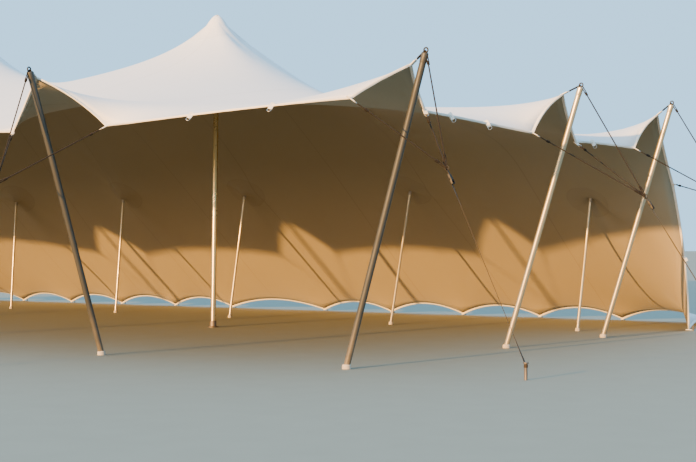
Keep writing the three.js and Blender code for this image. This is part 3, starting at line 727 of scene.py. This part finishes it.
# The places of the tabs on each side, the way out from it, and the way in which loose tabs swing
tab_sides = {
    "front": ([(0, n) for n in range(FINE, COLUMNS, FINE)], (0, -1, 0), -1),
    "right": ([(n, COLUMNS) for n in range(0, ROWS, FINE)], (1, 0, 0), 1),
    "back": ([(ROWS, n) for n in range(0, COLUMNS + 1, FINE)], (0, 1, 0), 0),
    "left": ([(n, 0) for n in range(0, ROWS, FINE)], (-1, 0, 0), -1),
}
LOOSE_HEIGHT = 0.5
CORNER_TAB_IN = 0.06
pulled_tabs = [(one.tip, one.head) for one in ears] + [(tab, one.ring) for one in ears for tab in one.tabs]
pegged = []
for side, (places, out, swing_way) in tab_sides.items():
    straps, rings = [], []
    for n, (j, i) in enumerate(places):
        point, swing = surface[j, i], 0
        pulled_to = next((to for tab, to in pulled_tabs if np.allclose(tab, point)), None)
        if pulled_to is not None:
            way = pulled_to - point
        elif point[2] < GROUND_HEM + 0.001:
            if side == "back" and i in (0, COLUMNS):
                point = point + np.array([math.copysign(CORNER_TAB_IN, -point[0]), 0, 0])
            way = out
            pegged.append((point, np.array(out)))
        elif point[2] < LOOSE_HEIGHT:
            continue
        else:
            way = Vector(out) * (0.55 + 0.1 * math.sin(7 * n)) + Vector((0, -0.15, -0.8))
            swing = math.radians(38 + 12 * math.sin(5 * n)) * swing_way
        at = pointed(point, way) @ Matrix.Rotation(swing, 4, "X")
        straps.append(placed(tab_strap, "tab", at))
        rings.append(placed(tab_ring, "ring", at))
    strap = joined(f"{side}_hem_tabs", straps)
    ring = joined(f"{side}_hem_rings", rings)
    for piece, slot in ((strap, "webbing"), (ring, "stake")):
        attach(piece, "root")
    hems += [strap, ring]
for model in (tab_strap, tab_ring):
    bpy.data.objects.remove(model)

# Steel pegs hold the tabs on the ground: a round bar with a forged head, driven straight down through the
# ring of its tab, with the last few centimetres left standing.
def turned(material, outline, steps=24):
    """An outline of (radius, height) spun round the upright axis."""
    mesh = bpy.data.meshes.new("turned")
    mesh.from_pydata([(r, 0, z) for r, z in outline], [(n, n + 1) for n in range(len(outline) - 1)], [])
    piece = bpy.data.objects.new("turned", mesh)
    bpy.context.collection.objects.link(piece)
    select_only(piece)
    bpy.ops.object.mode_set(mode="EDIT")
    bpy.ops.mesh.select_all(action="SELECT")
    bpy.ops.mesh.spin(steps=steps, angle=math.tau, center=(0, 0, 0), axis=(0, 0, 1))
    bpy.ops.mesh.select_all(action="SELECT")
    bpy.ops.mesh.remove_doubles(threshold=0.00002)
    bpy.ops.mesh.normals_make_consistent(inside=False)
    bpy.ops.object.mode_set(mode="OBJECT")
    bpy.ops.object.shade_smooth_by_angle(angle=SMOOTH)
    piece.data.materials.append(material)
    return piece


PEG_OUT = 0.062
forged_steel = metal_finish("forged_steel", (0.36, 0.34, 0.31, 1), (0.20, 0.15, 0.11, 1), 0.55, 40.0)
peg = turned(forged_steel, [
    (0, 0), (0.009, 0), (0.009, 0.052), (0.0115, 0.056), (0.0165, 0.058), (0.017, 0.062), (0.0155, 0.068),
    (0.011, 0.07), (0, 0.07),
], 16)
pegs = []
for n, (point, out) in enumerate(pegged):
    stand = Matrix.Translation(Vector((*(point + PEG_OUT * out)[:2], 0)))
    pegs.append(placed(peg, "peg", stand @ Matrix.Rotation(0.7 * n, 4, "Z")))
bpy.data.objects.remove(peg)
pegs = joined("ground_pegs", pegs)
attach(pegs, "root")

# Each edge pole is a drawn aluminium tube with a cap sleeve, and on its plug a welded steel eye for the tie
# and the guy rope. It stands in a moulded rubber foot and leans out from the tent.
def tube_finish(name, base, shade, roughness, metallic):
    """Anodised tube with faint lengthwise draw lines, scuffs, and dust near the ground."""
    finish = Finish(name, Metallic=metallic)
    place = finish.place()
    stretched = finish.node("ShaderNodeMapping", sockets={0: place, 3: (220.0, 220.0, 3.0)})
    lines, scuff = finish.noise(stretched, 1.0, 2.0), finish.noise(place, 9.0, 6.0)
    height = finish.node("ShaderNodeSeparateXYZ", sockets={0: place}, output=2)
    low = finish.fade(height, 0.05, 0.5, 0.6, 0.0)
    color = finish.mix(scuff * 0.7 + lines * 0.2, base, shade)
    color = finish.mix(low * scuff, color, (0.42, 0.34, 0.24, 1))
    bump = finish.bump(0.3, lines * 0.0001 + scuff * 0.0001)
    return finish.feed(Base_Color=color, Roughness=roughness - 0.12 + 0.3 * scuff, Normal=bump)


def rubber_finish(name, base, shade):
    finish = Finish(name)
    place = finish.place()
    dust, grain = finish.noise(place, 24.0, 5.0), finish.noise(place, 420.0, 2.0)
    bump = finish.bump(0.5, grain * 0.0003 + dust * 0.0006)
    return finish.feed(Base_Color=finish.mix(dust, base, shade), Roughness=0.66 + 0.25 * dust, Normal=bump)


# The front and corner poles use a much darker, duller copy of the tube finish than the end and back poles
dark_tube = tube_finish("dark_tube", (0.092, 0.095, 0.088, 1), (0.062, 0.064, 0.059, 1), 0.48, 0.25)
pale_tube = tube_finish("pale_tube", (0.66, 0.585, 0.43, 1), (0.50, 0.44, 0.32, 1), 0.33, 0.75)
pale_rubber = rubber_finish("pale_rubber", (0.55, 0.52, 0.46, 1), (0.36, 0.32, 0.26, 1))
dull_steel = metal_finish("dull_plated_steel", (0.115, 0.112, 0.105, 1), (0.07, 0.068, 0.063, 1), 0.56)

POLE_LENGTH = 2.90
POLE_RADIUS = 0.030
POLE_JOINT = 1.46
SLEEVE_RADIUS = 0.0322
FOOT_SEAT = 0.022


def joint_line(radius, height):
    """The groove where a tube comes apart."""
    groove = radius - 0.0008
    return [(radius, height), (groove, height + 0.0005), (groove, height + 0.0025), (radius, height + 0.003)]


pole_tube = turned(dark_tube, [
    (0, 0), (POLE_RADIUS, 0), *joint_line(POLE_RADIUS, POLE_JOINT), (POLE_RADIUS, POLE_LENGTH - 0.112),
    (0.0315, POLE_LENGTH - 0.111), (SLEEVE_RADIUS, POLE_LENGTH - 0.108),
    (SLEEVE_RADIUS, POLE_LENGTH - 0.032), (0.0310, POLE_LENGTH - 0.027), (0.0280, POLE_LENGTH - 0.024),
    (0.0120, POLE_LENGTH - 0.0225), (0, POLE_LENGTH - 0.022),
], 32)
eye = wire_ring(dull_steel, 0.0205, 0.0065, 28, 12, (0, 0, POLE_LENGTH), 90)
edge_pole = joined("edge_pole", [pole_tube, eye])

foot = turned(pale_rubber, [
    (0, 0), (0.040, 0), (0.042, 0.003), (0.042, 0.010), (0.0405, 0.0115), (0.0405, 0.0135), (0.042, 0.015),
    (0.042, 0.022), (0.0405, 0.0235), (0.0405, 0.0255), (0.042, 0.027), (0.042, 0.031), (0.039, 0.036),
    (0.036, 0.043), (0.0345, 0.044), (0, 0.044),
], 32)

for one in ears:
    start = one.foot + np.array([0, 0, FOOT_SEAT])
    way = one.head - start
    pole = placed(edge_pole, f"{one.name}_edge_pole", Matrix.Identity(4))
    for point in pole.data.vertices:
        if point.co.z > POLE_JOINT + 0.1:
            point.co.z += float(np.linalg.norm(way)) - POLE_LENGTH
    # The end poles take the pale copy of the tube finish, and the front and corner poles keep the dark one
    if one.name.endswith(("middle", "rear")):
        pole.data.materials[0] = pale_tube
    # The eye stands across the tent's edge, so that both the tie and the guy pull in its plane
    up, along = Vector(way).normalized(), Vector(one.along).normalized()
    put(pole.data, set_on(along.cross(up), along, up, start))
    rubber = placed(foot, f"{one.name}_rubber_foot", Matrix.Translation(Vector(one.foot)))
    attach(pole, "root")
    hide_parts(f"{one.name}_pole")
    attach(rubber, "root")
for model in (edge_pole, foot):
    bpy.data.objects.remove(model)

# Dark braided ropes run from the pole's eye and from both tabs of the ear to one steel ring, each ending in
# a short whipped loop. A last turn of rope ties the tip of the ear to the eye.
def rope_finish(name, base, shade, diameter):
    finish = Finish(name, Sheen_Weight=0.05)
    uv, along, turned_by = finish.uv()
    along = along * (math.tau / (diameter * 1.6))
    strands = turned_by * (math.tau * 4)
    one_way, other_way = finish.calc("SINE", along + strands), finish.calc("SINE", along - strands)
    braid = finish.calc("MAXIMUM", one_way, other_way) * 0.5 + 0.5
    fuzz = finish.noise(uv, 30.0, 4.0)
    color = finish.mix(braid * 0.6 + fuzz * 0.4, shade, base)
    bump = finish.bump(0.8, braid * 0.0016 + fuzz * 0.0004)
    return finish.feed(Base_Color=color, Roughness=0.78 + 0.15 * fuzz, Normal=bump)


ROPE_DIAMETER = 0.012
dark_rope = rope_finish(
    "dark_braided_rope", (0.034, 0.028, 0.022, 1), (0.012, 0.010, 0.008, 1), ROPE_DIAMETER,
)


def rope(name, points, radius, closed=False, sides=10):
    """A rope swept along a row of points, with its ends closed."""
    points = np.asarray(points, float)
    ways = unit(np.gradient(points, axis=0))
    if closed:
        ways = unit(np.roll(points, -1, axis=0) - np.roll(points, 1, axis=0))
    across = np.cross(ways[0], [0, 0, 1])
    if np.linalg.norm(across) < 0.2:
        across = np.cross(ways[0], [0, 1, 0])
    across = unit(across)
    spots, uv = [], []
    for point, way, far in zip(points, ways, runs(points)):
        across = unit(across - way * (across @ way))
        other = np.cross(way, across)
        for s in range(sides):
            angle = math.tau * s / sides
            spots.append(point + radius * (math.cos(angle) * across + math.sin(angle) * other))
            uv.append((far, s / sides))
    return skin(name, spots, sides, uv, dark_rope, closed)


def loop_round(first, second, side, radius, spread):
    """One closed turn of rope that passes round two points."""
    way = unit(second - first)
    points = []
    for end, begin in ((first, math.pi / 2), (second, -math.pi / 2)):
        for n in range(9):
            angle = begin + math.pi * n / 8
            points.append(end + spread * (math.cos(angle) * way + math.sin(angle) * side))
    return rope("turn", points, radius, closed=True)


WHIPPING_TURNS = 4
STEPS_A_TURN = 10


def whipping(at, way, radius):
    """A few tight turns of thin cord round a rope."""
    across = unit(np.cross(way, [0.3, 0.2, 1]))
    other = np.cross(way, across)
    points = []
    for n in range(WHIPPING_TURNS * STEPS_A_TURN + 1):
        angle = math.tau * n / STEPS_A_TURN
        points.append(at + way * (n / STEPS_A_TURN * radius * 1.7)
                      + radius * 1.75 * (math.cos(angle) * across + math.sin(angle) * other))
    return rope("whipping", points, radius * 0.8, sides=8)


def between(first, second, count):
    """Points in a row from one place to another."""
    return [first + (second - first) * t for t in np.linspace(0, 1, count)]


RING_RADIUS = 0.021
EYE_HOLD, TAB_HOLD = 0.024, TAB_OUT + 0.034
FAR_LOOP, RING_LOOP = 0.085, 0.075
LOOP_SPREAD = 0.008
radius = ROPE_DIAMETER / 2
for one in ears:
    parts = []
    for place, hold in ((one.head, EYE_HOLD), *((tab, TAB_HOLD) for tab in one.tabs)):
        way = unit(one.ring - place)
        begin = place + way * (hold + FAR_LOOP)
        end = one.ring - way * (RING_RADIUS + RING_LOOP)
        ring_side = unit(np.cross(way, one.along))
        side = ring_side if place is one.head else unit(np.cross(way, [0, 0, 1.0]))
        grip, in_ring = place + way * (hold - 0.002), one.ring - way * (RING_RADIUS - 0.004)
        parts += [
            rope("rope", between(begin, end, 24), radius),
            loop_round(grip, begin + way * 0.004, side, radius * 0.8, LOOP_SPREAD),
            whipping(begin - way * 0.012, way, radius * 0.9),
            loop_round(end - way * 0.004, in_ring, ring_side, radius * 0.8, LOOP_SPREAD),
            whipping(end - way * 0.028, way, radius * 0.9),
        ]
    way = unit(one.head - one.tip)
    in_tab, in_eye = one.tip + way * (TAB_OUT + 0.026), one.head - way * 0.016
    parts.append(loop_round(in_tab, in_eye, unit(one.along), radius * 0.9, 0.009))
    ropes = joined(f"{one.name}_ropes", parts)
    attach(ropes, "root")
    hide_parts(f"{one.name}_guy")

# From the ring one flat polyester strap runs through a steel ratchet down to the stake. The ratchet is two
# side plates with a slotted spool between them, a folded handle and its spring bar.
STRAP_WIDTH = 0.025
STRAP_THICKNESS = 0.0028
strap_webbing = webbing_finish(
    "strap_webbing", (0.060, 0.044, 0.030, 1), (0.024, 0.018, 0.013, 1), STRAP_WIDTH, 0.002,
)


def strap_piece(points, ups, width=STRAP_WIDTH, thickness=STRAP_THICKNESS):
    """A flat strap along a row of points."""
    points = np.asarray(points, float)
    ways = unit(np.gradient(points, axis=0))
    ups = np.broadcast_to(ups, points.shape)
    spots, uv = [], []
    for point, way, up, far in zip(points, ways, ups, runs(points)):
        side = unit(np.cross(up, way))
        up = np.cross(way, side)
        for a, b in ((-1, -1), (1, -1), (1, 1), (-1, 1)):
            spots.append(point + side * a * width / 2 + up * b * thickness / 2)
            uv.append((far, (a + 1) / 2 * width))
    piece = skin("strap", spots, 4, uv, strap_webbing)
    select_only(piece)
    bpy.ops.object.shade_smooth_by_angle(angle=math.radians(40))
    return piece


def plate(low, high):
    """A flat steel plate or bar with eased edges."""
    piece = primitive(
        bpy.ops.mesh.primitive_cube_add, [b - a for a, b in zip(low, high)], size=1,
        location=[(a + b) / 2 for a, b in zip(low, high)],
    )
    return eased(piece, 0.0008, 2, lambda m: True)


def disc(radius, length, x, y, z, sides):
    """A plain cylinder across the ratchet."""
    return primitive(
        bpy.ops.mesh.primitive_cylinder_add, vertices=sides, radius=radius, depth=length,
        location=(x, y, z), rotation=(math.radians(90), 0, 0),
    )


def pin(radius, half_length, x, z, sides=20):
    """A steel pin across the ratchet, with its ends eased."""
    piece = disc(radius, 2 * half_length, x, 0, z, sides)
    return eased(piece, radius * 0.12, 2, lambda m: abs(abs(m.y) - half_length) < 1e-5)


SPOOL_X = 0.054
PLATE_THICKNESS = 0.0025
TOOTH_DEPTH = 0.82
parts = []
for low_x, high_x, low_z, high_z, ys in (
    (0.003, 0.074, -0.011, 0.010, (-0.0195, 0.0170)),
    (0.036, 0.099, -0.008, 0.012, (-0.0225, 0.0200)),
):
    for y in ys:
        parts.append(plate((low_x, y, low_z), (high_x, y + PLATE_THICKNESS, high_z)))
parts += [
    pin(0.0065, 0.0225, SPOOL_X, 0.0), pin(0.0035, 0.0215, 0.008, 0.0), pin(0.0052, 0.0215, 0.095, 0.005),
    plate((0.066, -0.0195, 0.003), (0.073, 0.0195, 0.008)),
]
for y in (-0.0155, 0.0155):
    wheel = disc(0.015, 0.002, SPOOL_X, y, 0, 26)
    work = bmesh.new()
    work.from_mesh(wheel.data)
    for k, corner in enumerate(sorted(work.verts, key=lambda q: math.atan2(q.co.z, q.co.x - SPOOL_X))):
        if (k // 2) % 2:
            corner.co.x = SPOOL_X + (corner.co.x - SPOOL_X) * TOOTH_DEPTH
            corner.co.z *= TOOTH_DEPTH
    work.to_mesh(wheel.data)
    work.free()
    parts.append(wheel)
for part in parts:
    part.data.materials.append(dull_steel)
ratchet = joined("ratchet", parts)
roll = pin(0.0118, 0.0142, SPOOL_X, 0.0, 28)
roll.data.materials.append(strap_webbing)
steel_ring = wire_ring(dull_steel, RING_RADIUS, 0.0042, 32, 10)

RATCHET_AT = 0.052
ROLL_HEIGHT = 0.0105
STRAP_END = 0.122
STRAP_TWIST = math.radians(-32)
STAKE_LOOP = 0.0165
for one in ears:
    hook = one.stake + np.array([0, 0, STRAP_END])
    way = unit(hook - one.ring)
    up = unit(np.cross(way, one.along))
    up = up if up[2] > 0 else -up
    at = pointed(one.ring + way * RATCHET_AT, way, up)
    gear = placed(ratchet, "ratchet", at)
    ring = placed(steel_ring, "ring", set_on(one.out, (0, 0, 1), one.along, one.ring))
    hardware = joined(f"{one.name}_ring_and_ratchet", [gear, ring])
    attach(hardware, "root")
    spool = one.ring + way * (RATCHET_AT + SPOOL_X)
    near = one.ring + way * (RING_RADIUS - 0.008)
    begin, end = spool - up * ROLL_HEIGHT, hook - way * 0.015
    run = np.linspace(0, 1, 24)
    twist = STRAP_TWIST * np.clip(5 * np.minimum(run, 1 - run), 0, 1)[:, None]
    turns = np.linspace(0, math.tau, 17)[:, None]
    fold = np.linspace(-math.pi / 2, math.pi / 2, 9)[:, None]
    lines = [
        strap_piece(between(near, spool + up * ROLL_HEIGHT, 5), up),
        strap_piece(between(near, one.ring + way * (RATCHET_AT - 0.006), 3), up),
        strap_piece(between(begin, end, 24), np.cos(twist) * up + np.sin(twist) * np.cross(way, up)),
        strap_piece(hook + STAKE_LOOP * np.hstack([np.cos(turns), np.sin(turns), 0 * turns]) - (0, 0, 0.006),
                    (0, 0, 1), 0.002, STRAP_WIDTH),
        strap_piece(near + 0.011 * (np.cos(fold) * -way + np.sin(fold) * up), up + way * 0.3),
    ]
    strap = joined(f"{one.name}_strap", [*lines, placed(roll, "roll", at)])
    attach(strap, "root")
for model in (ratchet, roll, steel_ring):
    bpy.data.objects.remove(model)

# The stakes are heavy forged steel bars driven in beside the tent, with a mushroomed head that keeps the
# strap on. Only what stands above the ground is there.
stake = turned(forged_steel, [
    (0, 0), (0.014, 0), (0.014, 0.130), (0.0165, 0.134), (0.022, 0.1365), (0.024, 0.140), (0.0235, 0.146),
    (0.019, 0.1495), (0.010, 0.150), (0, 0.1495),
])
for n, one in enumerate(ears):
    stand = Matrix.Translation(Vector(one.stake))
    bar = placed(stake, f"{one.name}_steel_stake", stand @ Matrix.Rotation(1.1 * n, 4, "Z"))
    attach(bar, "root")
    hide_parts(f"{one.name}_stake")
bpy.data.objects.remove(stake)

# Each king pole is a thick aluminium tube in a steel base plate with a welded socket. It leans out a little
# from the middle, and its padded rubber cap spreads the cloth at the crown.
black_rubber = rubber_finish("black_rubber", (0.06, 0.055, 0.05, 1), (0.13, 0.115, 0.10, 1))
bright_tube = tube_finish("bright_tube", (0.80, 0.62, 0.34, 1), (0.66, 0.51, 0.28, 1), 0.28, 0.9)
PAD_RADIUS = 0.070
PAD_HEIGHT = 0.160
KING_RADIUS, COLLAR_RADIUS = 0.0355, 0.038
KING_JOINT, COLLAR = 2.2, 0.12
KING_LEAN = 0.05, 0.03
SOCKET_FLOOR = 0.012


def leaning(start, top):
    """The matrix that stands an upright piece on one point, leaning to another."""
    return pointed(start, top - start) @ Matrix.Rotation(math.radians(90), 4, "Y")


for king in kings:
    centre = Vector((king["x"], king["y"], 0))
    top = king["height"] - 0.0035
    dome = [(PAD_RADIUS * share, top - CROWN_DROP * (PAD_RADIUS * share / CROWN_RADIUS) ** CROWN_CURVE)
            for share in np.linspace(0, 0.9, 8)]
    rim = dome[-1][1]
    pad = turned(black_rubber, dome + [
        (PAD_RADIUS * 0.97, rim - 0.012), (PAD_RADIUS, rim - 0.028), (PAD_RADIUS, top - 0.125),
        (PAD_RADIUS * 0.96, top - 0.137), (PAD_RADIUS * 0.8, top - 0.148), (PAD_RADIUS * 0.62, top - 0.156),
        (PAD_RADIUS * 0.60, top - PAD_HEIGHT), (0, top - PAD_HEIGHT),
    ], 40)
    pad.name = f"{king['name']}_crown_pad"
    put(pad.data, Matrix.Translation(centre))
    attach(pad, "root")
    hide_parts(f"{king['name']}_king_pad")

    foot_at = centre - Vector((math.copysign(KING_LEAN[0], king["x"]), KING_LEAN[1], 0))
    seat = centre + Vector((0, 0, top - PAD_HEIGHT - 0.0025))
    start = foot_at + Vector((0, 0, SOCKET_FLOOR))
    length = (seat - start).length
    tube = turned(bright_tube, [
        (0, 0), (KING_RADIUS, 0), (KING_RADIUS, KING_JOINT), (COLLAR_RADIUS, KING_JOINT + 0.001),
        (COLLAR_RADIUS, KING_JOINT + COLLAR), (KING_RADIUS, KING_JOINT + COLLAR + 0.001),
        (KING_RADIUS, length - 0.07), (COLLAR_RADIUS, length - 0.069), (COLLAR_RADIUS, length - 0.003),
        (0.036, length - 0.001), (0, length - 0.001),
    ], 36)
    put(tube.data, leaning(start, seat))
    base = turned(forged_steel, [
        (0, 0), (0.074, 0), (0.076, 0.002), (0.076, 0.010), (0.074, SOCKET_FLOOR), (0.052, SOCKET_FLOOR),
        (0.047, 0.017), (0.046, 0.022), (0.046, 0.088), (0.044, 0.090), (0.0375, 0.090), (0.0375, 0.03),
        (0, 0.03),
    ], 40)
    put(base.data, Matrix.Translation(foot_at))
    pole = joined(f"{king['name']}_king_tube", [tube, base])
    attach(pole, "root")
    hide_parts(f"{king['name']}_king_pole")

# The low back poles are slim tubes with a rubber foot and a rounded cap that pushes the cloth up inside.
# They lean back towards the pegs.
BACK_RADIUS = 0.020
BACK_JOINT = 1.02
CAP_LENGTH = 0.084
for n, pole in enumerate(back_poles):
    foot_at = Vector((pole["x"], BACK_TOP_Y - pole["lean"], 0))
    start = foot_at + Vector((0, 0, FOOT_SEAT))
    top = Vector((pole["x"], BACK_TOP_Y, pole["height"] - 0.004))
    length = (top - start).length
    tube = turned(pale_tube, [
        (0, 0), (BACK_RADIUS, 0), *joint_line(BACK_RADIUS, BACK_JOINT),
        (BACK_RADIUS, length - CAP_LENGTH - 0.001), (0.0205, length - CAP_LENGTH), (0, length - CAP_LENGTH),
    ])
    cap = turned(pale_rubber, [
        (0, length - CAP_LENGTH), (0.0215, length - CAP_LENGTH), (0.0215, length - 0.034),
        (0.0195, length - 0.024), (0.0150, length - 0.014), (0.0085, length - 0.007), (0, length - 0.004),
    ])
    stick = joined(f"back_tube_{n + 1}", [tube, cap])
    put(stick.data, leaning(start, top))
    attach(stick, "root")
    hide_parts(f"back_pole_{n + 1}")
    rubber = turned(pale_rubber, [
        (0, 0), (0.031, 0), (0.032, 0.002), (0.032, 0.010), (0.031, 0.012), (0.031, 0.014), (0.032, 0.016),
        (0.032, 0.030), (0.028, 0.038), (0.0245, 0.044), (0, 0.044),
    ], 28)
    rubber.name = f"back_foot_{n + 1}"
    put(rubber.data, Matrix.Translation(foot_at))
    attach(rubber, "root")

held_by = [f"{king['name']}_crown_pad" for king in kings]
held_by += [f"back_tube_{n + 1}" for n in range(len(back_poles))]

# The floor is plain, pale and level. Low warm light comes from behind the camera's left and reaches in
# under the cloth, and a cool even light fills the rest.
bpy.ops.object.select_all(action="DESELECT")
bpy.ops.mesh.primitive_plane_add(size=900, location=(0, 0, -0.001))
floor = bpy.context.object
floor.name = "floor"
ground = Finish("floor_finish", Roughness=0.9)
speck = ground.noise(ground.place(), 3.0, 5.0)
floor.data.materials.append(ground.feed(
    Base_Color=ground.mix(speck, (0.295, 0.318, 0.275, 1), (0.325, 0.348, 0.305, 1)),
))

SUN_WAY = Vector((0.068, 1, -0.147))
for name, energy, angle, color in (
    ("low_sun", 8.0, 0.9, (1.0, 0.535, 0.17)),
    ("glow_round_sun", 2.5, 30, (1.0, 0.60, 0.28)),
):
    lamp = bpy.data.lights.new(name, "SUN")
    lamp.energy = energy
    lamp.angle = math.radians(angle)
    lamp.color = color
    light = bpy.data.objects.new(name, lamp)
    light.rotation_euler = SUN_WAY.to_track_quat("-Z", "Y").to_euler()
    bpy.context.collection.objects.link(light)

world = bpy.data.worlds.new("sky")
world.use_nodes = True
sky = world.node_tree.nodes["Background"]
sky.inputs["Color"].default_value = (0.58, 0.94, 1.26, 1)
sky.inputs["Strength"].default_value = 1.0
bpy.context.scene.world = world
bpy.context.scene.view_settings.view_transform = "AgX"
bpy.context.scene.view_settings.look = "AgX - Medium High Contrast"
